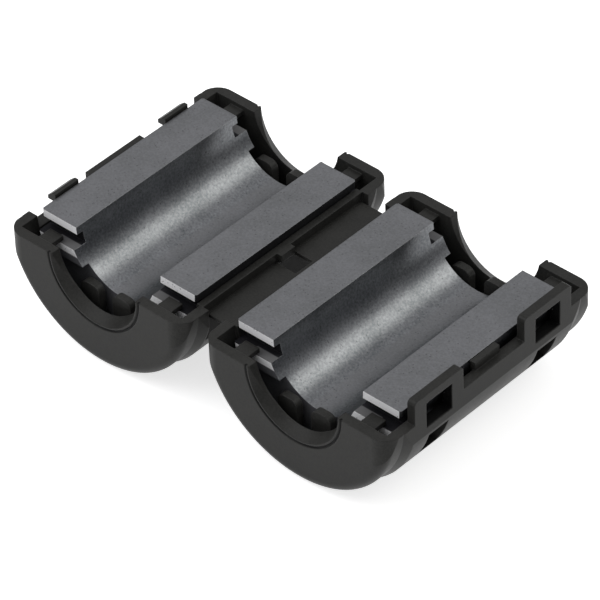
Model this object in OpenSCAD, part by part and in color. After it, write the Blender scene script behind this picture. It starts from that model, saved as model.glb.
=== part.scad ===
// Clip-on ferrite bead for one round cable, lying open on the flats of its two halves.
// Each half of the moulded case cradles half of a ferrite sleeve. A thin strap with two
// folds joins the halves, and two hooks on one half snap behind two windowed tabs on the
// other. The bores run along Y, X goes across the hinge, and Z points up out of the halves.
// Heights inside a half are given from its mating plane, and lengths from the bead's middle.

/* [Ferrite] */
// Bore of the closed ferrite sleeve
bore_d = 13; // [10:0.5:15]
// Width of each flat mating face, from the bore to the outside
face_w = 5.35; // [4.6:0.05:6.4]
// Length of the mating faces
ferrite_len = 26.4; // [24:0.2:32]
// Height of the lip that the mating face keeps above each end groove
lip_h = 1; // [0.6:0.05:1.2]
// Height of the end grooves, which leave room for the holding tabs
groove_h = 1.4; // [1.2:0.05:1.8]
// Depth of the end grooves
groove_depth = 0.9; // [0.5:0.05:1.1]
// Height of the end pads under the grooves
pad_h = 1.9; // [1:0.1:2.4]
// How far the end pads stand out
pad_out = 1; // [0.4:0.1:1.4]
// Chamfer round the outside of the ferrite's ends
ferrite_edge = 0.2; // [0.1:0.05:0.4]

/* [Case] */
// Radial space between the ferrite and the case wall
cavity_gap = 0.55; // [0.4:0.05:0.8]
// Radial play left between the ferrite and its cradle
cradle_play = 0.1; // [0.05:0.01:0.15]
// Thickness of the curved wall
wall = 1.7; // [1.4:0.05:2.2]
// Thickness of the end walls
end_wall = 1.3; // [1.1:0.05:2]
// Space between the ends of the mating faces and the end walls
end_room = 2.85; // [2.6:0.05:3.6]
// How far the case's rim lies below the mating plane
rim_drop = 1.1; // [0.9:0.05:1.4]
// How much the curved wall is cut back to a flat on each side
side_cut = 0.45; // [0.3:0.05:0.6]
// How much the curved wall is cut back to a flat to stand on
foot_cut = 0.4; // [0.3:0.05:0.6]
// Length of the slightly smaller collar at each end
collar_len = 2.65; // [2.4:0.05:3]
// How much smaller in radius the collar is
collar_step = 0.45; // [0.2:0.05:0.5]
// Length over which the collar widens to the curved wall
collar_ramp = 1.4; // [0.8:0.1:1.6]
// Rounding of the end edges
end_round = 1.2; // [0.8:0.1:1.6]
// Radius of the corners seen from above
corner_round = 2.3; // [1:0.1:2.6]
// Play between a full-size cable and its opening in each end wall
cable_play = 0.05; // [0.05:0.05:0.3]
// Radius of the opening's mouth on the outside
mouth_r = 6.55; // [6.4:0.05:6.6]
// How much the mouth narrows through the end wall
mouth_taper = 0.9; // [0.4:0.1:1.2]
// Radius of the fine groove round each mouth
ring_r = 6.9; // [6.85:0.05:7.6]
// Depth of that groove
ring_depth = 0.2; // [0.1:0.05:0.2]
// Width of the cradle ribs
rib_w = 1.2; // [0.8:0.1:2]

/* [Holding tabs and fingers] */
// Width of each tab that holds the ferrite down
hold_w = 2; // [1.6:0.1:2.4]
// Thickness of each holding tab
hold_t = 0.6; // [0.5:0.05:0.9]
// How far each holding tab reaches over the ferrite's end pad
hold_reach = 0.5; // [0.4:0.05:0.8]
// Play between each holding tab and the pad under it
hold_play = 0.1; // [0.05:0.01:0.2]
// Width of the cable finger and of the end stop beside it
finger_w = 2.7; // [2:0.1:3]
// Thickness of the finger and the stop
finger_t = 0.85; // [0.6:0.05:1]
// Space between the ferrite's end and the finger
finger_room = 0.75; // [0.5:0.05:0.9]
// Distance of the finger from the bore's axis, to one side
finger_x = 1.65; // [1.6:0.05:2]
// Distance of the end stop from the bore's axis, to the other side
stop_x = 3.3; // [3:0.05:3.6]
// How far the finger's tip stays below a full-size cable, which bends it down that far
finger_drop = 0.05; // [0:0.05:0.5]
// How far the stop's tip stands above the bore's lowest point, beside the cable
stop_rise = 0.3; // [0:0.05:0.4]
// Rounding of the finger's and the stop's tip
tip_round = 0.6; // [0.3:0.05:1]

/* [Hinge] */
// Space between the two halves' sides
halves_gap = 2.56; // [2.3:0.02:3]
// Thickness of the hinge wall at its thinnest
hinge_wall = 0.83; // [0.7:0.01:0.95]
// Thickness of the strap
strap_t = 0.45; // [0.35:0.05:0.55]
// Length of the strap along its folds
strap_len = 25.4; // [20:0.2:25.8]
// Space between each end of the strap and the posts beside it
strap_end_gap = 0.45; // [0.3:0.05:0.6]
// Play at each fold and between the strap and a wall it folds against
fold_play = 0.08; // [0.05:0.01:0.1]
// Space left between the ferrite faces when the bead is closed
mate_gap = 0.1; // [0.05:0.01:0.15]
// Length of the window in the strap
strap_window_len = 2.8; // [2:0.1:4]
// Width of the window in the strap, from one fold
strap_window_w = 3.05; // [2:0.05:3.2]
// How far the lug stands out through the window
lug_out = 0.7; // [0.4:0.05:0.8]
// Play at each end of the lug in the window
lug_play = 0.3; // [0.2:0.05:0.5]
// How far the thick land behind the hinge wall reaches down from the rim
land_depth = 3.9; // [3:0.1:5]

/* [Latch] */
// Distance from the bead's middle to the middle of each tab and hook
latch_y = 9; // [8.7:0.05:9.2]
// Width of each latch tab
tab_w = 7.9; // [7.4:0.1:8]
// Thickness of each latch tab
tab_t = 1.05; // [0.9:0.05:1.1]
// Height of the tabs above the mating plane
tab_h = 2.05; // [1.9:0.05:2.3]
// Rounding of the tabs' top corners
tab_round = 0.5; // [0.4:0.1:1.2]
// Height of the bar over each window
tab_bar = 1.15; // [1:0.05:1.25]
// Width of each latch window
window_w = 4.2; // [4:0.05:4.8]
// Height of each latch window
window_h = 3.5; // [3:0.1:4]
// Height of the bar under each latch window
sill_h = 1.4; // [1:0.1:1.8]
// Width of the relief slot under that bar
relief_w = 3.2; // [2:0.1:4]
// Height of the relief slot
relief_h = 3.8; // [2:0.1:4]
// Play at each side of a hook in its window
hook_side_play = 0.25; // [0.15:0.05:0.4]
// Play between a hook and the bar that it catches
catch_play = 0.1; // [0.05:0.01:0.15]
// Thickness of each hook's blade
hook_t = 0.5; // [0.4:0.05:0.55]
// How far each hook's nose stands out from its blade
nose_out = 0.75; // [0.5:0.05:0.9]
// Height of the nose's upright front
nose_front = 0.5; // [0.3:0.05:0.7]
// How far each hook's foot reaches down into the wall
hook_foot = 1.4; // [1:0.1:1.6]
// Height of the hooks above the mating plane
hook_h = 0.4; // [0.3:0.05:0.6]
// Play between the blades and the tabs that pass outside them
pass_play = 0.1; // [0.05:0.01:0.15]
// Space round the tabs where the other half makes way for them
tab_room = 0.6; // [0.4:0.05:0.6]
// Width of the block on the rim between the two tabs
block_w = 4; // [3:0.1:6]
// Thickness of that block
block_t = 0.75; // [0.6:0.05:1]
// Height of that block, from the mating plane down into the wall
block_h = 4; // [3:0.1:5]

/* [Hidden] */
$fn = 96;

CASE_BLACK = [0.13, 0.13, 0.14];
FERRITE_GREY = [0.42, 0.43, 0.44];

// Overshoot that makes cuts clean and lets joined forms overlap
eps = 0.01;
sink = 0.2;

// Ferrite
bore_r = bore_d / 2;
ferrite_r = bore_r + face_w;
half_ferrite = ferrite_len / 2;
pad_top = -lip_h - groove_h;

// Case, in section
cradle_r = ferrite_r + cradle_play;
cavity_r = ferrite_r + cavity_gap;
body_r = cavity_r + wall;
collar_r = body_r - collar_step;
side_x = body_r - side_cut;
foot_z = -(body_r - foot_cut);

// Size of the cuts that take away all that lies beyond a plane
reach = 3 * body_r;

// Case, along its length
cavity_half = half_ferrite + end_room;
case_half_len = cavity_half + end_wall;
collar_y = case_half_len - collar_len;

// Hinge: the folds are as deep as they are apart, so closing brings the faces together
bore_x = halves_gap / 2 + side_x;
hinge_x = cradle_r + hinge_wall;
fold_x = bore_x - hinge_x;
fold_z = -(fold_x - mate_gap / 2);
recess_half = strap_len / 2 + strap_end_gap;
lug_w = strap_window_len - 2 * lug_play;

// Latch
tab_in = side_x - tab_t;
window_top = tab_h - tab_bar;
window_bottom = window_top - window_h;
relief_top = window_bottom - sill_h;
blade_out = tab_in - pass_play;
blade_in = blade_out - hook_t;
hook_w = window_w - 2 * hook_side_play;
catch_z = -(window_top - mate_gap - catch_play);
way_bottom = -tab_h - tab_room;

// Ribs: angles below the horizontal, clear of the latch and the hinge
RIB_ANGLES = [50, 78, 102, 130];

// A rectangle in the middle of its plane, with round corners
module rounded_rect(size, r) {
    square([size[0] - 2 * r, size[1]], center = true);
    square([size[0], size[1] - 2 * r], center = true);
    for (sx = [-1, 1], sy = [-1, 1])
        translate([sx * (size[0] / 2 - r), sy * (size[1] / 2 - r)]) circle(r);
}

// Turns a shape drawn across the bead (X, Z) into a bar along Y, centred on the middle
module along_y(len) {
    rotate([90, 0, 0]) linear_extrude(len, center = true) children();
}

// Turns a shape drawn as (Y, Z) into a plate that stands between two X values
module across_x(x0, x1) {
    translate([x0, 0, 0]) rotate([90, 0, 90]) linear_extrude(x1 - x0) children();
}

// A round bar along Y, about the bore's axis
module bar_y(r, len) {
    rotate([90, 0, 0]) cylinder(r = r, h = len, center = true);
}

// Puts a half's own frame (bore axis at x = 0, mating plane at z = 0) where it lies.
// side is 1 for the half towards +X and -1 for the half towards -X, which is mirrored.
module place(side) {
    translate([side * bore_x, 0, -foot_z]) mirror([side < 0 ? 1 : 0, 0, 0]) children();
}

// Radius against length of the case's round outside, with collars and round ends
module case_outline() {
    polygon([
        [0, -collar_y], [collar_r, -collar_y], [body_r, collar_ramp - collar_y],
        [body_r, collar_y - collar_ramp], [collar_r, collar_y], [0, collar_y]]);
    intersection() {
        rounded_rect([2 * collar_r, 2 * case_half_len], end_round);
        translate([0, -case_half_len]) square([collar_r, 2 * case_half_len]);
    }
}

// Outside of one half: the round form cut flat at the sides, the foot and the rim
module case_outside() {
    intersection() {
        rotate([90, 0, 0]) rotate_extrude() case_outline();
        translate([0, 0, foot_z]) linear_extrude(-foot_z - rim_drop)
            rounded_rect([2 * side_x, 2 * case_half_len], corner_round);
    }
}

// The cable's way through both end walls. Each opens into a mouth that is centred on the
// rim, so it leads down to the cable at the bottom, and has a fine groove round it.
module cable_way() {
    bar_y(bore_r + cable_play, 2 * (case_half_len + sink));
    for (end = [-1, 1])
        translate([0, end * (case_half_len - end_wall), -rim_drop]) rotate([-90 * end, 0, 0]) {
            cylinder(r1 = mouth_r - mouth_taper, r2 = mouth_r + mouth_taper, h = 2 * end_wall);
            translate([0, 0, end_wall]) rotate_extrude() translate([ring_r, 0])
                polygon([[-ring_depth, 0], [0, -ring_depth], [ring_depth, 0], [0, ring_depth]]);
        }
}

// Ribs that carry the ferrite, and the land that thickens the hinge wall behind it
module cradle() {
    difference() {
        union() {
            for (a = RIB_ANGLES)
                rotate([0, a, 0]) translate([cradle_r, -half_ferrite, -rib_w / 2])
                    cube([cavity_r - cradle_r + sink, ferrite_len, rib_w]);
            intersection() {
                bar_y(cavity_r + sink, 2 * recess_half);
                translate([-reach, -reach, -rim_drop - land_depth])
                    cube([reach, 2 * reach, land_depth]);
            }
        }
        bar_y(cradle_r, 2 * case_half_len);
        translate([-reach - hinge_x, -reach, -reach]) cube([reach, 2 * reach, 2 * reach]);
    }
}

// One tab at each corner that reaches from the end wall over the ferrite's end pad
module holding_tabs() {
    tab_tip = half_ferrite + pad_out - hold_reach;
    for (sx = [-1, 1], sy = [-1, 1])
        translate([sx * (bore_r + face_w / 2), sy * (tab_tip + cavity_half + sink) / 2, pad_top + hold_play])
            translate([-hold_w / 2, -(cavity_half + sink - tab_tip) / 2, 0])
                cube([hold_w, cavity_half + sink - tab_tip, hold_t]);
}

// An upright leaf with a round tip, standing on the cavity floor
module leaf(x, depth) {
    for (end = [-1, 1])
        translate([x, end * (half_ferrite + finger_room + finger_t / 2), 0])
            along_y(finger_t) {
                translate([-finger_w / 2, -cavity_r]) square([finger_w, cavity_r - depth - tip_round]);
                translate([-finger_w / 2 + tip_round, -cavity_r])
                    square([finger_w - 2 * tip_round, cavity_r - depth]);
                for (side = [-1, 1])
                    translate([side * (finger_w / 2 - tip_round), -depth - tip_round]) circle(tip_round);
            }
}

// Half case without its latch. finger_side says on which side of the bore the finger stands.
module case_shell(finger_side) {
    difference() {
        case_outside();
        bar_y(cavity_r, 2 * cavity_half);
        cable_way();
        translate([-reach - hinge_x, -recess_half, -reach]) cube([reach, 2 * recess_half, 2 * reach]);
    }
    cradle();
    holding_tabs();
    intersection() {
        union() {
            leaf(finger_side * finger_x, bore_r + finger_drop);
            leaf(-finger_side * stop_x, bore_r - stop_rise);
        }
        bar_y(cavity_r + sink, 2 * case_half_len);
    }
}

// Windowed tabs that stand up from the latch side
module latch_tabs() {
    for (s = [-1, 1]) across_x(tab_in, side_x) translate([s * latch_y, 0]) {
        translate([-tab_w / 2, -rim_drop - sink]) square([tab_w, tab_h - tab_round + rim_drop + sink]);
        translate([-tab_w / 2 + tab_round, 0]) square([tab_w - 2 * tab_round, tab_h]);
        for (c = [-1, 1]) translate([c * (tab_w / 2 - tab_round), tab_h - tab_round]) circle(tab_round);
    }
}

// Cuts for the latch windows and the relief slots below them
module latch_cuts() {
    for (s = [-1, 1]) translate([cradle_r / 2, s * latch_y, 0]) {
        translate([0, -window_w / 2, window_bottom]) cube([reach, window_w, window_h]);
        translate([0, -relief_w / 2, relief_top - relief_h]) cube([reach, relief_w, relief_h]);
    }
}

// Block on the rim between the tabs
module rim_block() {
    translate([cradle_r, -block_w / 2, -block_h]) cube([block_t, block_w, block_h]);
}

// Hooks: a blade beside the ferrite, and a nose with a sloped top and a flat catch
module hooks() {
    for (s = [-1, 1]) translate([0, s * latch_y, 0])
        along_y(hook_w) polygon([
            [blade_in, way_bottom - hook_foot], [cavity_r + wall / 2, way_bottom - hook_foot],
            [cavity_r + wall / 2, way_bottom], [blade_out, way_bottom],
            [blade_out, catch_z], [blade_out + nose_out, catch_z],
            [blade_out + nose_out, catch_z + nose_front], [blade_out, hook_h], [blade_in, hook_h]]);
}

// Room on the outside of the hook half for the other half's tabs
module tab_ways() {
    way_w = tab_w + 2 * tab_room;
    for (s = [-1, 1])
        translate([cradle_r - cradle_play, s * latch_y - way_w / 2, way_bottom]) cube([reach, way_w, reach]);
}

module case_half_b() {
    color(CASE_BLACK) place(1) difference() {
        union() {
            case_shell(1);
            latch_tabs();
            rim_block();
        }
        latch_cuts();
    }
}

module case_half_a() {
    color(CASE_BLACK) place(-1) {
        difference() {
            case_shell(-1);
            tab_ways();
        }
        hooks();
        // Lug on the hinge wall that passes through the strap's window
        translate([-hinge_x - lug_out, -lug_w / 2, fold_z]) cube([lug_out + sink, lug_w, -rim_drop - fold_z]);
    }
}

// Flat strap between the two folds, with round edges and a window for the lug
module hinge_strap() {
    edge_x = fold_x - fold_play;
    color(CASE_BLACK) translate([0, 0, -foot_z + fold_z - fold_play - strap_t / 2]) difference() {
        along_y(strap_len) {
            square([2 * edge_x - strap_t, strap_t], center = true);
            for (s = [-1, 1]) translate([s * (edge_x - strap_t / 2), 0]) circle(strap_t / 2);
        }
        translate([-fold_x - eps, -strap_window_len / 2, -strap_t])
            cube([strap_window_w + eps, strap_window_len, 2 * strap_t]);
    }
}

// A ferrite tube along Y, with its outer end edges chamfered
module sleeve(len) {
    end = len / 2;
    rotate([90, 0, 0]) rotate_extrude()
        polygon([
            [bore_r, -end], [ferrite_r - ferrite_edge, -end], [ferrite_r, ferrite_edge - end],
            [ferrite_r, end - ferrite_edge], [ferrite_r - ferrite_edge, end], [bore_r, end]]);
}

// Half sleeve: grooved lips at the mating faces, and pads under the grooves
module ferrite_half() {
    difference() {
        union() {
            intersection() {
                sleeve(ferrite_len);
                translate([-reach, -reach, -reach]) cube([2 * reach, 2 * reach, reach]);
            }
            intersection() {
                sleeve(ferrite_len + 2 * pad_out);
                translate([-reach, -reach, pad_top - pad_h]) cube([2 * reach, 2 * reach, pad_h]);
            }
        }
        for (end = [-1, 1])
            translate([-reach, end * half_ferrite - groove_depth, pad_top])
                cube([2 * reach, 2 * groove_depth, groove_h]);
    }
}

module ferrite_half_a() {
    color(FERRITE_GREY) place(-1) ferrite_half();
}

module ferrite_half_b() {
    color(FERRITE_GREY) place(1) ferrite_half();
}

case_half_a();
case_half_b();
hinge_strap();
ferrite_half_a();
ferrite_half_b();
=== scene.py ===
"""Looks of an open clip-on ferrite bead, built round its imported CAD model.

The CAD nodes keep their shapes. They get a moulded plastic and a sintered ferrite, and the case
gets the springy parts that rigid solids can't show: the webs of the living hinge and the leaves at
the ends of the bores. Lengths are in metres, in the CAD model's own frame.
"""

from __future__ import annotations

import itertools
import logging
import math
from dataclasses import dataclass, field
from enum import Enum
from typing import Callable, NamedTuple

import bpy
from mathutils import Matrix, Vector

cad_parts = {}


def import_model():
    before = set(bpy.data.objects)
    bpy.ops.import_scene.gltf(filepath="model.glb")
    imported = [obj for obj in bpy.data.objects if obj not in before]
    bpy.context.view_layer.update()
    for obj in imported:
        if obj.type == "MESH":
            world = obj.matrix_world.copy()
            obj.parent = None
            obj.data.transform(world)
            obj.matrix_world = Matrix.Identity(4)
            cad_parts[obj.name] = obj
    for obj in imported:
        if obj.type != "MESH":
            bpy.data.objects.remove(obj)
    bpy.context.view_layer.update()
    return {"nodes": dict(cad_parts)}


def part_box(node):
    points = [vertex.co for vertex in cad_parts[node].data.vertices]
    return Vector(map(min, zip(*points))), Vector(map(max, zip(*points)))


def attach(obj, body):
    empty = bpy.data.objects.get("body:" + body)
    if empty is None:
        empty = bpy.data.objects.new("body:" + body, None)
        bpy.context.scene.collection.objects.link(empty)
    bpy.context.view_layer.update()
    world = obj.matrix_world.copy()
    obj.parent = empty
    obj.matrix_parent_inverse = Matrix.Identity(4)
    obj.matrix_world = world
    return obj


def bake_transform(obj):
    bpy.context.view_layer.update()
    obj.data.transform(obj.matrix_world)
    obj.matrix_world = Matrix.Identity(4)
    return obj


LOG = logging.getLogger("ferrite_bead")

MM = 0.001
SMOOTH_ANGLE = math.radians(35)
NOISE_ROUGHNESS = 0.6
WHITE = (1.0, 1.0, 1.0)
WARM_WHITE = (1.0, 1.0, 0.935)

# Sizes of the CAD model that its boxes don't tell: the play at each fold, how far the ferrite's
# pads stand out past its end faces, and how far the case's rim lies below the mating plane.
FOLD_PLAY = 0.08 * MM
PAD_OUT = 1.0 * MM
RIM_DROP = 1.1 * MM

Colour = tuple[float, float, float]


class Slot(Enum):
    """The record's material slots."""

    PLASTIC = "case_plastic"
    FERRITE = "ferrite"


class Side(Enum):
    """The two halves of the bead, each with its sign along X."""

    A = -1
    B = 1

    @property
    def letter(self) -> str:
        """The letter that ends the half's node and body names."""
        return self.name.lower()


class End(Enum):
    """The two ends of the bores, each with its sign along Y."""

    FRONT = -1
    BACK = 1


@dataclass(frozen=True)
class BeadFrame:
    """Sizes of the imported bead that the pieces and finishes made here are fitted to."""

    bore_x: float
    mate_z: float
    face_half: float
    ferrite_r: float
    rim_z: float
    case_half: float
    case_x: float
    strap_low: Vector
    strap_high: Vector
    wall_x: float

    @classmethod
    def measure(cls) -> "BeadFrame":
        """Reads the sizes from the boxes of the CAD nodes.

        Returns:
            The bead's sizes.
        """
        low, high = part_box("ferrite_half_b")
        strap_low, strap_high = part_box("hinge_strap")
        case_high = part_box("case_half_b")[1]
        return cls(
            bore_x=(low.x + high.x) / 2,
            mate_z=high.z,
            face_half=high.y - PAD_OUT,
            ferrite_r=(high.x - low.x) / 2,
            rim_z=high.z - RIM_DROP,
            case_half=case_high.y,
            case_x=case_high.x,
            strap_low=strap_low,
            strap_high=strap_high,
            wall_x=strap_high.x + FOLD_PLAY,
        )


class NodeTree:
    """A short way to write a shader node tree."""

    def __init__(self, tree: bpy.types.NodeTree) -> None:
        """Takes the node tree of a material, a world or a group, and empties it."""
        self.tree = tree
        tree.nodes.clear()

    def add(self, kind: str, inputs: dict | None = None, **settings: object) -> bpy.types.Node:
        """Adds a node.

        Args:
            kind: The node's type, without its "ShaderNode" prefix if it has one.
            inputs: Values or output sockets for its inputs, by name or number.
            settings: Attributes of the node.

        Returns:
            The new node.
        """
        name = kind if kind.startswith("NodeGroup") else "ShaderNode" + kind
        node = self.tree.nodes.new(name)
        for key, value in settings.items():
            setattr(node, key, value)
        for key, value in (inputs or {}).items():
            self.feed(node.inputs[key], value)
        return node

    def feed(self, socket: bpy.types.NodeSocket, value: object) -> None:
        """Links an output to a socket, or writes a constant on it.

        Args:
            socket: The input.
            value: An output socket, a number or a tuple.
        """
        if isinstance(value, bpy.types.NodeSocket):
            self.tree.links.new(value, socket)
        elif isinstance(value, tuple) and len(value) == 3 and socket.type == "RGBA":
            socket.default_value = (*value, 1.0)
        else:
            socket.default_value = value

    def axes(self, kind: str) -> bpy.types.NodeOutputs:
        """Splits a texture coordinate, such as Object or Normal, into its axes."""
        return self.add("SeparateXYZ", {0: self.add("TexCoord").outputs[kind]}).outputs

    def noise(
        self, position: bpy.types.NodeSocket, scale: object, detail: float
    ) -> bpy.types.NodeSocket:
        """Adds a noise whose features measure about 1 / scale metres, with finer octaves."""
        inputs = {"Vector": position, "Scale": scale, "Detail": detail}
        return self.add("TexNoise", {**inputs, "Roughness": NOISE_ROUGHNESS}).outputs["Fac"]

    def ramp(self, value: bpy.types.NodeSocket, low: float, high: float) -> bpy.types.NodeSocket:
        """Maps a value smoothly from 0 at low to 1 at high."""
        inputs = {"Value": value, "From Min": low, "From Max": high}
        return self.add("MapRange", inputs, interpolation_type="SMOOTHSTEP").outputs["Result"]

    def math(self, operation: str, *values: object) -> bpy.types.NodeSocket:
        """Adds a sum, product or other operation on one to three values or sockets."""
        return self.add("Math", dict(enumerate(values)), operation=operation).outputs[0]

    def reach(self, first: object, second: object) -> bpy.types.NodeSocket:
        """Finds how far a point is from an axis, from its distances in two directions across it."""
        squares = (self.math("POWER", value, 2.0) for value in (first, second))
        return self.math("SQRT", self.math("ADD", *squares))

    def mix(self, share: object, first: object, second: object) -> bpy.types.NodeSocket:
        """Mixes two colours.

        Args:
            share: How much of the second colour there is.
            first: The colour at share 0.
            second: The colour at share 1.

        Returns:
            The mixed colour.
        """
        node = self.add("Mix", {"Factor": share}, data_type="RGBA")
        self.feed(node.inputs[6], first)
        self.feed(node.inputs[7], second)
        return node.outputs[2]

    def bump(
        self, height: object, normal: object, strength: float, distance: float
    ) -> bpy.types.NodeSocket:
        """Bumps a normal by a height, whose 1 is the distance in metres."""
        inputs = {"Strength": strength, "Distance": distance, "Height": height, "Normal": normal}
        return self.add("Bump", inputs).outputs[0]

    def surface(self, **inputs: object) -> None:
        """Ends a material in a principled shader with these values and sockets, by name."""
        shader = self.add("BsdfPrincipled", inputs)
        self.add("OutputMaterial", {"Surface": shader.outputs[0]})


class EffectGroup:
    """A shader effect that more than one finish uses, kept as a node group."""

    def __init__(self, name: str, inputs: tuple[str, ...], outputs: dict[str, str]) -> None:
        """Makes the group's interface.

        Args:
            name: The group's name.
            inputs: The names of its inputs, which are numbers.
            outputs: The outputs' names and whether each is a Float, Color or Vector.
        """
        self.group = bpy.data.node_groups.new(name, "ShaderNodeTree")
        face = self.group.interface
        for key in inputs:
            face.new_socket(key, in_out="INPUT", socket_type="NodeSocketFloat")
        for key, kind in outputs.items():
            face.new_socket(key, in_out="OUTPUT", socket_type="NodeSocket" + kind)
        self.nodes = NodeTree(self.group)
        self.inside = self.nodes.add("NodeGroupInput").outputs
        self.result = self.nodes.add("NodeGroupOutput").inputs

    def put(self, tree: NodeTree, **values: float) -> bpy.types.Node:
        """Places the group in a material.

        Args:
            tree: The material's tree.
            values: Values for the group's inputs, by name.

        Returns:
            The group's node.
        """
        node = tree.add("Group", node_tree=self.group)
        for key, value in values.items():
            node.inputs[key].default_value = value
        return node


class SurfaceGrain(EffectGroup):
    """A fine all-over texture: a height for bump, and a tone that mottles the colour."""

    FINE_DETAIL, PATCH_DETAIL = 3.0, 2.0
    FINE_SHARE, PATCH_SHARE = 0.6, 0.4
    TONE_LOW, TONE_HIGH = 0.3, 0.7

    def __init__(self) -> None:
        """Builds the group."""
        outputs = {"Height": "Float", "Tone": "Float"}
        super().__init__("surface_grain", ("Scale", "Patch Scale"), outputs)
        nodes = self.nodes
        place = nodes.add("TexCoord").outputs["Object"]
        fine = nodes.noise(place, self.inside["Scale"], self.FINE_DETAIL)
        patch = nodes.noise(place, self.inside["Patch Scale"], self.PATCH_DETAIL)
        coarse = nodes.math("MULTIPLY", patch, self.PATCH_SHARE)
        tone = nodes.math("MULTIPLY_ADD", fine, self.FINE_SHARE, coarse)
        nodes.feed(self.result["Height"], fine)
        nodes.feed(self.result["Tone"], nodes.ramp(tone, self.TONE_LOW, self.TONE_HIGH))


class EdgeHighlight(EffectGroup):
    """A mask, 1 along sharp edges, for a painted highlight, and the normal of the rounded edges."""

    SAMPLES = 6
    LEAN_NONE, LEAN_FULL = 0.995, 0.8

    def __init__(self) -> None:
        """Builds the group."""
        super().__init__("edge_highlight", ("Radius",), {"Mask": "Float", "Normal": "Vector"})
        nodes = self.nodes
        bevel = nodes.add("Bevel", {"Radius": self.inside["Radius"]}, samples=self.SAMPLES)
        rounded = bevel.outputs[0]
        flat = nodes.add("NewGeometry").outputs["Normal"]
        lean = nodes.add("VectorMath", {0: rounded, 1: flat}, operation="DOT_PRODUCT")
        mask = nodes.ramp(lean.outputs["Value"], self.LEAN_NONE, self.LEAN_FULL)
        nodes.feed(self.result["Mask"], mask)
        nodes.feed(self.result["Normal"], rounded)


@dataclass(frozen=True)
class PlasticFinish:
    """Charcoal moulded plastic with a fine spark-eroded grain."""

    frame: BeadFrame
    dark: Colour = (0.018, 0.0179, 0.0168)
    pale: Colour = (0.0314, 0.0311, 0.0292)
    # painted highlight colour along sharp edges
    edge: Colour = (0.062, 0.062, 0.061)
    # painted shade for the ring grooves and the walls inside the latch windows
    shade: Colour = (0.004, 0.004, 0.004)
    ring_r: float = 6.9 * MM
    ring_width: float = 0.19 * MM
    ring_depth: float = 0.3 * MM
    ring_fade: float = 0.05 * MM
    window_y: float = 9.0 * MM
    window_z: float = -0.85 * MM
    window_half_w: float = 2.1 * MM
    window_half_h: float = 1.75 * MM
    window_reach: float = 1.5 * MM
    fade: float = 0.1 * MM
    grain_scale: float = 4000.0
    patch_scale: float = 260.0
    roughness: float = 0.34
    roughness_spread: float = 0.12
    ior: float = 1.53
    specular: float = 0.12
    edge_radius: float = 0.16 * MM
    # how far the painted edge highlight lightens the colour
    edge_highlight_share: float = 0.6
    bump: float = 0.22
    bump_height: float = 0.02 * MM

    def groove(self, tree: NodeTree) -> bpy.types.NodeSocket:
        """Finds the fine ring groove round each cable mouth, where shade is painted.

        Args:
            tree: The material's tree.

        Returns:
            A mask that is 1 in the ring's groove, where the plastic gets painted shade.
        """
        place = tree.axes("Object")
        across = tree.math("SUBTRACT", tree.math("ABSOLUTE", place["X"]), self.frame.bore_x)
        up = tree.math("SUBTRACT", place["Z"], self.frame.rim_z)
        off = tree.math("SUBTRACT", tree.reach(across, up), self.ring_r)
        near = tree.ramp(tree.math("ABSOLUTE", off), self.ring_width, self.ring_width / 2)
        inside = self.frame.case_half - self.ring_depth
        outer = tree.ramp(tree.math("ABSOLUTE", place["Y"]), inside - self.ring_fade, inside)
        return tree.math("MULTIPLY", near, outer)

    def windows(self, tree: NodeTree) -> bpy.types.NodeSocket:
        """Finds the walls inside the latch windows, painted in shade darker than the outer faces.

        Args:
            tree: The material's tree.

        Returns:
            A mask that is 1 on the windows' walls, where shade is painted.
        """
        place = tree.axes("Object")
        inward = tree.math("SUBTRACT", self.frame.case_x, place["X"])
        wall = tree.ramp(inward, self.fade, 2 * self.fade)
        limit = tree.ramp(inward, self.window_reach + self.fade, self.window_reach)
        wall = tree.math("MULTIPLY", wall, limit)
        along = tree.math("SUBTRACT", tree.math("ABSOLUTE", place["Y"]), self.window_y)
        up = tree.math("SUBTRACT", place["Z"], self.frame.mate_z + self.window_z)
        for off, half in ((along, self.window_half_w), (up, self.window_half_h)):
            off = tree.math("ABSOLUTE", off)
            within = tree.ramp(off, half + self.fade, half + self.fade / 2)
            wall = tree.math("MULTIPLY", wall, within)
        return wall

    def build(self, grain: SurfaceGrain, edge_light: EdgeHighlight) -> bpy.types.Material:
        """Makes the material.

        Args:
            grain: The shared grain.
            edge_light: The shared edge mask.

        Returns:
            The material.
        """
        material = bpy.data.materials.new("moulded_case_plastic")
        material.use_nodes = True
        tree = NodeTree(material.node_tree)
        texture = grain.put(tree, **{"Scale": self.grain_scale, "Patch Scale": self.patch_scale})
        edges = edge_light.put(tree, Radius=self.edge_radius)
        # painted highlight: sharp edges lightened towards the edge colour
        edge_lit = tree.math("MULTIPLY", edges.outputs["Mask"], self.edge_highlight_share)
        # painted shade: the ring grooves and the latch windows' walls darkened to the shade colour
        painted_shade_mask = tree.math("MAXIMUM", self.groove(tree), self.windows(tree))
        tone, height = texture.outputs["Tone"], texture.outputs["Height"]
        colour = tree.mix(edge_lit, tree.mix(tone, self.dark, self.pale), self.edge)
        normal = tree.bump(height, edges.outputs["Normal"], self.bump, self.bump_height)
        rough = tree.math("MULTIPLY_ADD", tone, self.roughness_spread, self.roughness)
        tree.surface(
            **{
                "Base Color": tree.mix(painted_shade_mask, colour, self.shade),
                "Roughness": rough,
                "IOR": self.ior,
                "Specular IOR Level": self.specular,
                "Normal": normal,
            }
        )
        return material


class FerriteFaces(NamedTuple):
    """Masks of the ferrite's kinds of face.

    The end faces, their upper part (paler, with painted light), the painted shade in the end
    grooves and on the back, the pads' shoulders in lighter painted shade, and the ground mating
    faces.
    """

    outer: bpy.types.NodeSocket
    end: bpy.types.NodeSocket
    # painted shade mask: the recessed end faces, the groove shelves and the back
    skin: bpy.types.NodeSocket
    # painted shade mask for the pads' tops under the lips
    shaded_shoulder: bpy.types.NodeSocket
    ground: bpy.types.NodeSocket


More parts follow.
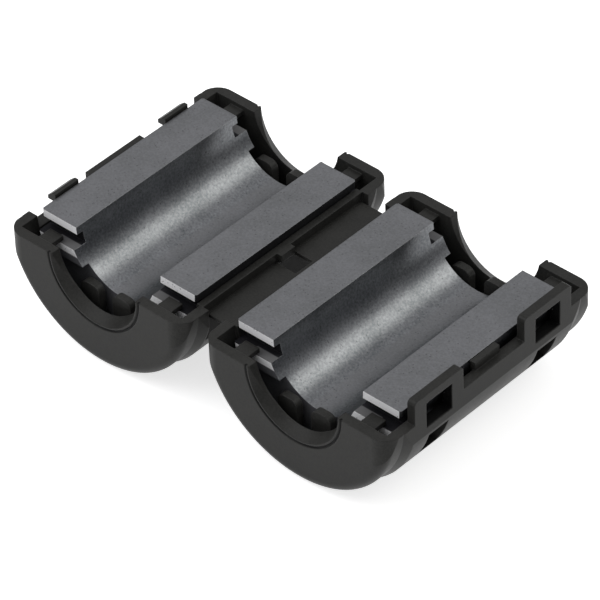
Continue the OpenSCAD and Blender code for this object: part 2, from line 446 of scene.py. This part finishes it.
@dataclass(frozen=True)
class FerriteFinish:
    """Sintered ferrite: mid grey with fine pores, and ground flat on the mating faces."""

    frame: BeadFrame
    body: Colour = (0.16, 0.164, 0.169)
    pale: Colour = (0.219, 0.222, 0.233)
    sintered_dark: Colour = (0.123, 0.13, 0.137)
    sintered_pale: Colour = (0.247, 0.253, 0.265)
    pore: Colour = (0.06, 0.06, 0.06)
    # painted highlight colour along sharp edges
    edge: Colour = (0.3, 0.3, 0.3)
    # painted shade for the recessed end faces, the groove shelves and the back
    skin: Colour = (0.03, 0.03, 0.034)
    # painted shade on the pads' tops under the lips, lighter than the groove shade
    shaded_shoulder: Colour = (0.1, 0.1, 0.102)
    # the end faces' upper part: paler ground ceramic, brightened further as painted light
    pale_lit_end_face: Colour = (0.88, 0.88, 0.89)
    # painted shade for the end faces below that part
    base: Colour = (0.095, 0.096, 0.104)
    groove_depth: float = 0.9 * MM
    lip_height: float = 1.0 * MM
    # depth down to which the end faces get painted light; below it they get painted shade
    lit_depth: float = 3.3 * MM
    shoulder_reach: float = 9.1 * MM
    # how much of the painted shade the back gets
    back_shade_share: float = 0.75
    fade: float = 0.1 * MM
    grain_scale: float = 3600.0
    patch_scale: float = 180.0
    pore_scale: float = 2600.0
    pore_range: tuple[float, float] = (0.3, 0.16)
    pore_share: float = 0.5
    field_share: float = 0.6
    field_range: tuple[float, float] = (0.5, 0.62)
    facing_range: tuple[float, float] = (0.9, 0.97)
    level_range: tuple[float, float] = (0.97, 0.99)
    roughness: float = 0.33
    ground_roughness: float = 0.42
    skin_roughness: float = 0.7
    ior: float = 1.5
    edge_radius: float = 0.08 * MM
    # how far the painted edge highlight lightens the colour
    edge_highlight_share: float = 0.5
    bump: float = 0.3
    bump_height: float = 0.012 * MM

    def pores(self, tree: NodeTree) -> bpy.types.NodeSocket:
        """Scatters small dark pores in fields.

        Args:
            tree: The material's tree.

        Returns:
            A mask that is 1 in a pore.
        """
        place = tree.add("TexCoord").outputs["Object"]
        cells = tree.add("TexVoronoi", {"Vector": place, "Scale": self.pore_scale})
        dots = tree.ramp(cells.outputs["Distance"], *self.pore_range)
        field_noise = tree.noise(place, self.pore_scale * self.field_share, 0.0)
        return tree.math("MULTIPLY", dots, tree.ramp(field_noise, *self.field_range))

    def beyond(
        self, tree: NodeTree, value: bpy.types.NodeSocket, limit: float
    ) -> bpy.types.NodeSocket:
        """Makes a mask that is 1 where a length is more than the limit."""
        return tree.ramp(value, limit - self.fade, limit + self.fade)

    def faces(self, tree: NodeTree) -> FerriteFaces:
        """Tells the kinds of face apart by where they lie and which way they face.

        Args:
            tree: The material's tree.

        Returns:
            The masks.
        """
        frame, facing, place = self.frame, tree.axes("Normal"), tree.axes("Object")
        along = tree.math("ABSOLUTE", place["Y"])
        depth = tree.math("SUBTRACT", frame.mate_z, place["Z"])
        aside = tree.math("SUBTRACT", tree.math("ABSOLUTE", place["X"]), frame.bore_x)
        aside = tree.math("ABSOLUTE", aside)
        endways = tree.ramp(tree.math("ABSOLUTE", facing["Y"]), *self.facing_range)
        level = tree.ramp(facing["Z"], *self.facing_range)
        # 1 on the upper part of the end faces, which gets painted light; below it painted shade
        high = tree.math("SUBTRACT", 1.0, self.beyond(tree, depth, self.lit_depth))
        floor = frame.face_half - self.groove_depth
        groove = self.beyond(tree, along, floor - self.fade / 2)
        proud = self.beyond(tree, along, frame.face_half - 2 * self.fade)
        shelf = tree.math("MULTIPLY", level, self.beyond(tree, depth, self.lip_height))
        shelf = tree.math("MULTIPLY", tree.math("MULTIPLY", shelf, groove), high)
        near = tree.math("SUBTRACT", 1.0, self.beyond(tree, aside, self.shoulder_reach))
        outer = tree.math("MULTIPLY", endways, proud)
        # recessed end faces and groove shelves, which get painted shade
        sunk_shade = tree.math("MAXIMUM", tree.math("SUBTRACT", endways, outer), shelf)
        # the ferrite's back, which gets painted shade in part
        back = self.beyond(tree, tree.reach(aside, depth), frame.ferrite_r - 2 * self.fade)
        back = tree.math("SUBTRACT", back, tree.math("MAXIMUM", level, endways))
        return FerriteFaces(
            outer=outer,
            end=tree.math("MULTIPLY", outer, high),
            skin=tree.math("MAXIMUM", sunk_shade, tree.math("MULTIPLY", back, self.back_shade_share)),
            shaded_shoulder=tree.math("MULTIPLY", tree.math("MULTIPLY", shelf, near), proud),
            ground=tree.ramp(facing["Z"], *self.level_range),
        )

    def build(self, grain: SurfaceGrain, edge_light: EdgeHighlight) -> bpy.types.Material:
        """Makes the material.

        Args:
            grain: The shared grain.
            edge_light: The shared edge mask.

        Returns:
            The material.
        """
        material = bpy.data.materials.new("sintered_ferrite")
        material.use_nodes = True
        tree = NodeTree(material.node_tree)
        texture = grain.put(tree, **{"Scale": self.grain_scale, "Patch Scale": self.patch_scale})
        edges = edge_light.put(tree, Radius=self.edge_radius)
        tone, height = texture.outputs["Tone"], texture.outputs["Height"]
        faces = self.faces(tree)
        pore = tree.math("MULTIPLY", self.pores(tree), self.pore_share)
        # painted highlight: sharp edges lightened towards the edge colour
        edge_lit = tree.math("MULTIPLY", edges.outputs["Mask"], self.edge_highlight_share)
        sintered = tree.mix(tone, self.sintered_dark, self.sintered_pale)
        body = tree.mix(faces.ground, sintered, tree.mix(tone, self.body, self.pale))
        body = tree.mix(edge_lit, body, self.edge)
        # painted shade on the recessed faces, the back and the pads' shoulders
        body = tree.mix(faces.skin, body, tree.mix(faces.shaded_shoulder, self.skin, self.shaded_shoulder))
        # proud end faces: painted light above, painted shade below
        body = tree.mix(faces.outer, body, tree.mix(faces.end, self.base, self.pale_lit_end_face))
        step = self.ground_roughness - self.roughness
        rough = tree.math("MULTIPLY_ADD", faces.ground, step, self.roughness)
        dull = tree.math("MAXIMUM", faces.outer, faces.skin)
        dull = tree.math("MULTIPLY", dull, self.skin_roughness)
        stony = tree.math("MAXIMUM", faces.outer, faces.shaded_shoulder)
        relief = tree.math("SUBTRACT", height, pore)
        normal = tree.bump(relief, edges.outputs["Normal"], self.bump, self.bump_height)
        tree.surface(
            **{
                "Base Color": tree.mix(pore, body, self.pore),
                "Roughness": tree.math("MAXIMUM", rough, dull),
                "Metallic": tree.math("SUBTRACT", 1.0, stony),
                "IOR": self.ior,
                "Normal": normal,
            }
        )
        return material


class Workshop:
    """Modelling steps that the pieces share, done with Blender's own operators."""

    @staticmethod
    def box(name: str, low: Vector, high: Vector) -> bpy.types.Object:
        """Adds a box between two corners.

        Args:
            name: The piece's name.
            low: The lowest corner.
            high: The highest corner.

        Returns:
            The new object, at the origin, with its place in its mesh.
        """
        bpy.ops.object.select_all(action="DESELECT")
        bpy.ops.mesh.primitive_cube_add(size=1.0, location=(low + high) / 2)
        piece = bpy.context.object
        piece.name = piece.data.name = name
        piece.scale = high - low
        bpy.ops.object.transform_apply(location=True, rotation=True, scale=True)
        return piece

    @staticmethod
    def copy(model: bpy.types.Object, name: str, move: Vector) -> bpy.types.Object:
        """Copies a piece with a mesh of its own, and moves the copy's mesh.

        Args:
            model: The piece to copy.
            name: The copy's name.
            move: How far the copy lies from the model.

        Returns:
            The copy, at the origin, with its place in its mesh.
        """
        bpy.ops.object.select_all(action="DESELECT")
        model.select_set(True)
        bpy.context.view_layer.objects.active = model
        bpy.ops.object.duplicate()
        piece = bpy.context.object
        piece.name = piece.data.name = name
        piece.location = move
        bpy.ops.object.transform_apply(location=True, rotation=True, scale=True)
        return piece

    @staticmethod
    def select_edges(piece: bpy.types.Object, wanted: Callable[[Vector, Vector], bool]) -> None:
        """Selects the edges that a test accepts, and leaves the piece in edit mode.

        Args:
            piece: The piece.
            wanted: A function from an edge's two ends to whether it is wanted.
        """
        bpy.ops.object.mode_set(mode="EDIT")
        bpy.ops.mesh.select_mode(type="EDGE")
        bpy.ops.mesh.select_all(action="DESELECT")
        bpy.ops.object.mode_set(mode="OBJECT")
        for edge in piece.data.edges:
            first, second = (piece.data.vertices[i].co for i in edge.vertices)
            edge.select = wanted(first, second)
        bpy.ops.object.mode_set(mode="EDIT")

    @staticmethod
    def finish(piece: bpy.types.Object, material: bpy.types.Material, slot: Slot) -> None:
        """Points a piece's normals outwards, smooths it and dresses it.

        Args:
            piece: The piece, in object mode.
            material: Its finish.
            slot: The record's slot for it; not used.
        """
        bpy.ops.object.select_all(action="DESELECT")
        piece.select_set(True)
        bpy.context.view_layer.objects.active = piece
        bpy.ops.object.mode_set(mode="EDIT")
        bpy.ops.mesh.select_all(action="SELECT")
        bpy.ops.mesh.normals_make_consistent(inside=False)
        bpy.ops.object.mode_set(mode="OBJECT")
        bpy.ops.object.shade_smooth_by_angle(angle=SMOOTH_ANGLE)
        piece.data.materials.clear()
        piece.data.materials.append(material)


@dataclass
class FoldWebs:
    """The two thin webs of the living hinge, which bend as the bead closes."""

    frame: BeadFrame
    plastic: bpy.types.Material
    bite: float = 0.12 * MM
    thickness: float = 0.3 * MM
    slices: int = 10

    def build(self) -> list[bpy.types.Object]:
        """Models the web at half A and copies it to half B.

        Returns:
            The webs.
        """
        between = Vector((self.frame.strap_high.x + self.frame.wall_x, 0, 0))
        model = self.model()
        webs = {Side.A: model, Side.B: Workshop.copy(model, "fold_web_b", between)}
        for side, piece in webs.items():
            Workshop.finish(piece, self.plastic, Slot.PLASTIC)
            self.join(piece, side)
        return list(webs.values())

    def model(self) -> bpy.types.Object:
        """Makes the web at half A, from inside the half's wall to inside the strap's edge.

        Returns:
            The web, in slices so that it can bend.
        """
        inner, outer = self.frame.strap_high.x, self.frame.wall_x
        half = Vector((0, 0, self.thickness / 2))
        low = Vector((-outer - self.bite, self.frame.strap_low.y, self.middle())) - half
        high = Vector((self.bite - inner, self.frame.strap_high.y, self.middle())) + half
        piece = Workshop.box("fold_web_a", low, high)
        Workshop.select_edges(piece, lambda a, b: abs(a.x - b.x) > self.bite)
        bpy.ops.mesh.subdivide(number_cuts=self.slices)
        bpy.ops.object.mode_set(mode="OBJECT")
        return piece

    def middle(self) -> float:
        """Finds the height of the strap's middle."""
        return (self.frame.strap_low.z + self.frame.strap_high.z) / 2

    def join(self, piece: bpy.types.Object, side: Side) -> None:
        """Bakes a web's place into its mesh, for either half.

        Args:
            piece: The web.
            side: Its half.
        """
        if side is Side.B:
            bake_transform(piece)
        else:
            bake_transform(piece)


@dataclass(frozen=True)
class Leaf:
    """One of the two springy leaves at each end of a bore."""

    name: str
    off_axis: float
    depth: float


@dataclass
class CableFingers:
    """The springy leaves that grip the cable, standing free as they do in an empty bead."""

    frame: BeadFrame
    plastic: bpy.types.Material
    leaves: tuple[Leaf, ...] = (
        Leaf("cable_finger", off_axis=1.7 * MM, depth=4.95 * MM),
        Leaf("cable_rest", off_axis=-3.25 * MM, depth=5.3 * MM),
    )
    width: float = 2.7 * MM
    thickness: float = 0.85 * MM
    end_gap: float = 0.75 * MM
    length: float = 4.5 * MM
    tip_round: float = 0.95 * MM
    tip_segments: int = 8
    skin: float = 0.06 * MM

    def build(self) -> list[bpy.types.Object]:
        """Models one leaf and copies it to both places at each end of each half.

        Returns:
            The leaves.
        """
        plans = list(itertools.product(self.leaves, Side, End))
        home = self.place(*plans[0])
        model = self.model(self.title(*plans[0]), home)
        copies = [
            Workshop.copy(model, self.title(*plan), self.place(*plan) - home) for plan in plans[1:]
        ]
        pieces = [model, *copies]
        for piece, (_, side, _) in zip(pieces, plans):
            Workshop.finish(piece, self.plastic, Slot.PLASTIC)
            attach(piece, f"half_{side.letter}")
        return pieces

    def title(self, leaf: Leaf, side: Side, end: End) -> str:
        """Names a leaf by its kind, its half and its end."""
        return f"{leaf.name}_{side.letter}_{end.name.lower()}"

    def place(self, leaf: Leaf, side: Side, end: End) -> Vector:
        """Finds where a leaf stands, over the stiff stub that the CAD model has.

        Args:
            leaf: Which of the two leaves it is.
            side: The half that it stands in.
            end: The end of the bore.

        Returns:
            The middle of its top.
        """
        along = self.frame.face_half + self.end_gap + self.thickness / 2
        across = side.value * self.frame.bore_x + leaf.off_axis
        return Vector((across, end.value * along, self.frame.mate_z - leaf.depth))

    def model(self, name: str, top: Vector) -> bpy.types.Object:
        """Makes a leaf with its upper corners rounded.

        Args:
            name: Its name.
            top: The middle of its top.

        Returns:
            The leaf.
        """
        half = Vector((self.width / 2 + self.skin, self.thickness / 2 + self.skin, 0))
        piece = Workshop.box(name, top - half - Vector((0, 0, self.length)), top + half)
        Workshop.select_edges(
            piece, lambda a, b: min(a.z, b.z) > top.z - self.skin and abs(a.y - b.y) > self.skin
        )
        bpy.ops.mesh.bevel(offset=self.tip_round, segments=self.tip_segments, affect="EDGES")
        bpy.ops.object.mode_set(mode="OBJECT")
        return piece


@dataclass
class Dressing:
    """Gives the CAD nodes their finishes."""

    plastic: bpy.types.Material
    ferrite: bpy.types.Material
    nodes: dict[str, bpy.types.Object]

    def dress(self) -> None:
        """Puts a finish on each CAD node."""
        for name, node in self.nodes.items():
            material = self.ferrite if name.startswith("ferrite") else self.plastic
            node.data.materials.clear()
            node.data.materials.append(material)
            LOG.info("dressed %s in %s", name, material.name)


@dataclass(frozen=True)
class StudioCamera:
    """The camera, by the direction that it looks from and what it looks at."""

    azimuth: float = 43.693
    elevation: float = 40.106
    roll: float = -2.304
    distance: float = 531.198 * MM
    across: float = 9.122 * MM
    up: float = 0.846 * MM
    aim: tuple[float, float, float] = (0.0, -13.2 * MM, 13.7 * MM)
    focal_pixels: float = 4861.169
    picture_pixels: int = 600
    sensor_width: float = 36.0
    clip: tuple[float, float] = (10 * MM, 10.0)

    def build(self) -> bpy.types.Object:
        """Makes the camera and sets it as the scene's.

        Returns:
            The camera.
        """
        a, e = math.radians(self.azimuth), math.radians(self.elevation)
        back = Vector((math.sin(a) * math.cos(e), -math.cos(a) * math.cos(e), math.sin(e)))
        right = Vector((math.cos(a), math.sin(a), 0.0))
        upward = back.cross(right)
        turn = Matrix.Rotation(math.radians(self.roll), 3, back)
        right, upward = turn @ right, turn @ upward
        data = bpy.data.cameras.new("studio_camera")
        data.sensor_width = self.sensor_width
        data.lens = self.focal_pixels / self.picture_pixels * self.sensor_width
        data.clip_start, data.clip_end = self.clip
        camera = bpy.data.objects.new("studio_camera", data)
        place = Vector(self.aim) + right * self.across + upward * self.up + back * self.distance
        rows = Matrix((right, upward, back)).transposed()
        camera.matrix_world = Matrix.Translation(place) @ rows.to_4x4()
        bpy.context.scene.collection.objects.link(camera)
        bpy.context.scene.camera = camera
        return camera


@dataclass(frozen=True)
class Softbox:
    """A square lamp that points at the bead."""

    name: str
    direction: tuple[float, float, float]
    size: float
    power: float
    distance: float = 0.35
    colour: Colour = WHITE

    def build(self, target: Vector) -> bpy.types.Object:
        """Makes the lamp.

        Args:
            target: The point that it faces.

        Returns:
            The lamp.
        """
        data = bpy.data.lights.new(self.name, "AREA")
        data.shape, data.size, data.energy = "SQUARE", self.size, self.power
        data.color = self.colour
        lamp = bpy.data.objects.new(self.name, data)
        away = Vector(self.direction).normalized()
        lamp.location = target + away * self.distance
        lamp.rotation_mode = "QUATERNION"
        lamp.rotation_quaternion = away.to_track_quat("Z", "Y")
        bpy.context.scene.collection.objects.link(lamp)
        return lamp


@dataclass
class Studio:
    """Floor, world and lamps."""

    target: Vector
    floor_size: float = 6.0
    floor_colour: Colour = (0.8, 0.8, 0.8)
    floor_glow: float = 0.7
    mirror_share: float = 0.86
    horizon: Colour = (0.08, 0.08, 0.08)
    ceiling: Colour = (0.6, 0.6, 0.61)
    ceiling_range: tuple[float, float] = (0.1, 0.5)
    lamps: list[Softbox] = field(
        default_factory=lambda: [
            Softbox(
                "overhead_softbox",
                direction=(0.447, 0.557, 0.7),
                size=0.36,
                power=0.98,
                distance=0.8,
                colour=WARM_WHITE,
            ),
            Softbox("front_softbox", direction=(-0.45, -0.47, 0.76), size=0.3, power=0.49),
            Softbox("back_softbox", direction=(-0.54, 0.56, 0.63), size=0.3, power=0.055),
        ]
    )

    def floor(self) -> bpy.types.Object:
        """Makes the pale floor, which glows when it is seen or mirrored and still takes the shadow.

        Returns:
            The floor.
        """
        bpy.ops.object.select_all(action="DESELECT")
        bpy.ops.mesh.primitive_plane_add(size=self.floor_size, location=(0, 0, 0))
        floor = bpy.context.object
        floor.name = "floor"
        material = bpy.data.materials.new("pale_floor")
        material.use_nodes = True
        tree = NodeTree(material.node_tree)
        cloth = tree.add("BsdfDiffuse", {"Color": self.floor_colour})
        ray = tree.add("LightPath").outputs
        mirrored = tree.math("MULTIPLY", ray["Is Glossy Ray"], self.mirror_share)
        seen = tree.math("MAXIMUM", ray["Is Camera Ray"], mirrored)
        seen = tree.math("MAXIMUM", seen, ray["Is Transmission Ray"])
        strength = tree.math("MULTIPLY", seen, self.floor_glow)
        glow = tree.add("Emission", {"Color": WHITE, "Strength": strength})
        both = tree.add("AddShader", {0: cloth.outputs[0], 1: glow.outputs[0]})
        tree.add("OutputMaterial", {"Surface": both.outputs[0]})
        floor.data.materials.append(material)
        return floor

    def world(self) -> None:
        """Lights the room softly, from a dark horizon up to a pale ceiling."""
        world = bpy.data.worlds.new("studio_world")
        world.use_nodes = True
        tree = NodeTree(world.node_tree)
        share = tree.ramp(tree.axes("Generated")["Z"], *self.ceiling_range)
        colour = tree.mix(share, self.horizon, self.ceiling)
        sky = tree.add("Background", {"Color": colour, "Strength": 1.0})
        tree.add("OutputWorld", {"Surface": sky.outputs[0]})
        bpy.context.scene.world = world

    def build(self) -> None:
        """Makes the whole studio."""
        self.floor()
        self.world()
        for lamp in self.lamps:
            lamp.build(self.target)
        bpy.context.scene.view_settings.view_transform = "Standard"


def main() -> None:
    """Dresses the bead, adds its springy parts and sets up the studio."""
    logging.basicConfig(level=logging.INFO, format="%(name)s: %(message)s")
    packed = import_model()
    frame = BeadFrame.measure()
    grain, edge_light = SurfaceGrain(), EdgeHighlight()
    plastic = PlasticFinish(frame).build(grain, edge_light)
    ferrite = FerriteFinish(frame).build(grain, edge_light)
    Dressing(plastic, ferrite, packed["nodes"]).dress()
    StudioCamera().build()
    for piece in FoldWebs(frame, plastic).build() + CableFingers(frame, plastic).build():
        LOG.info("made %s", piece.name)
    Studio(Vector((0, 0, frame.mate_z / 2))).build()


if __name__ == "__main__":
    main()
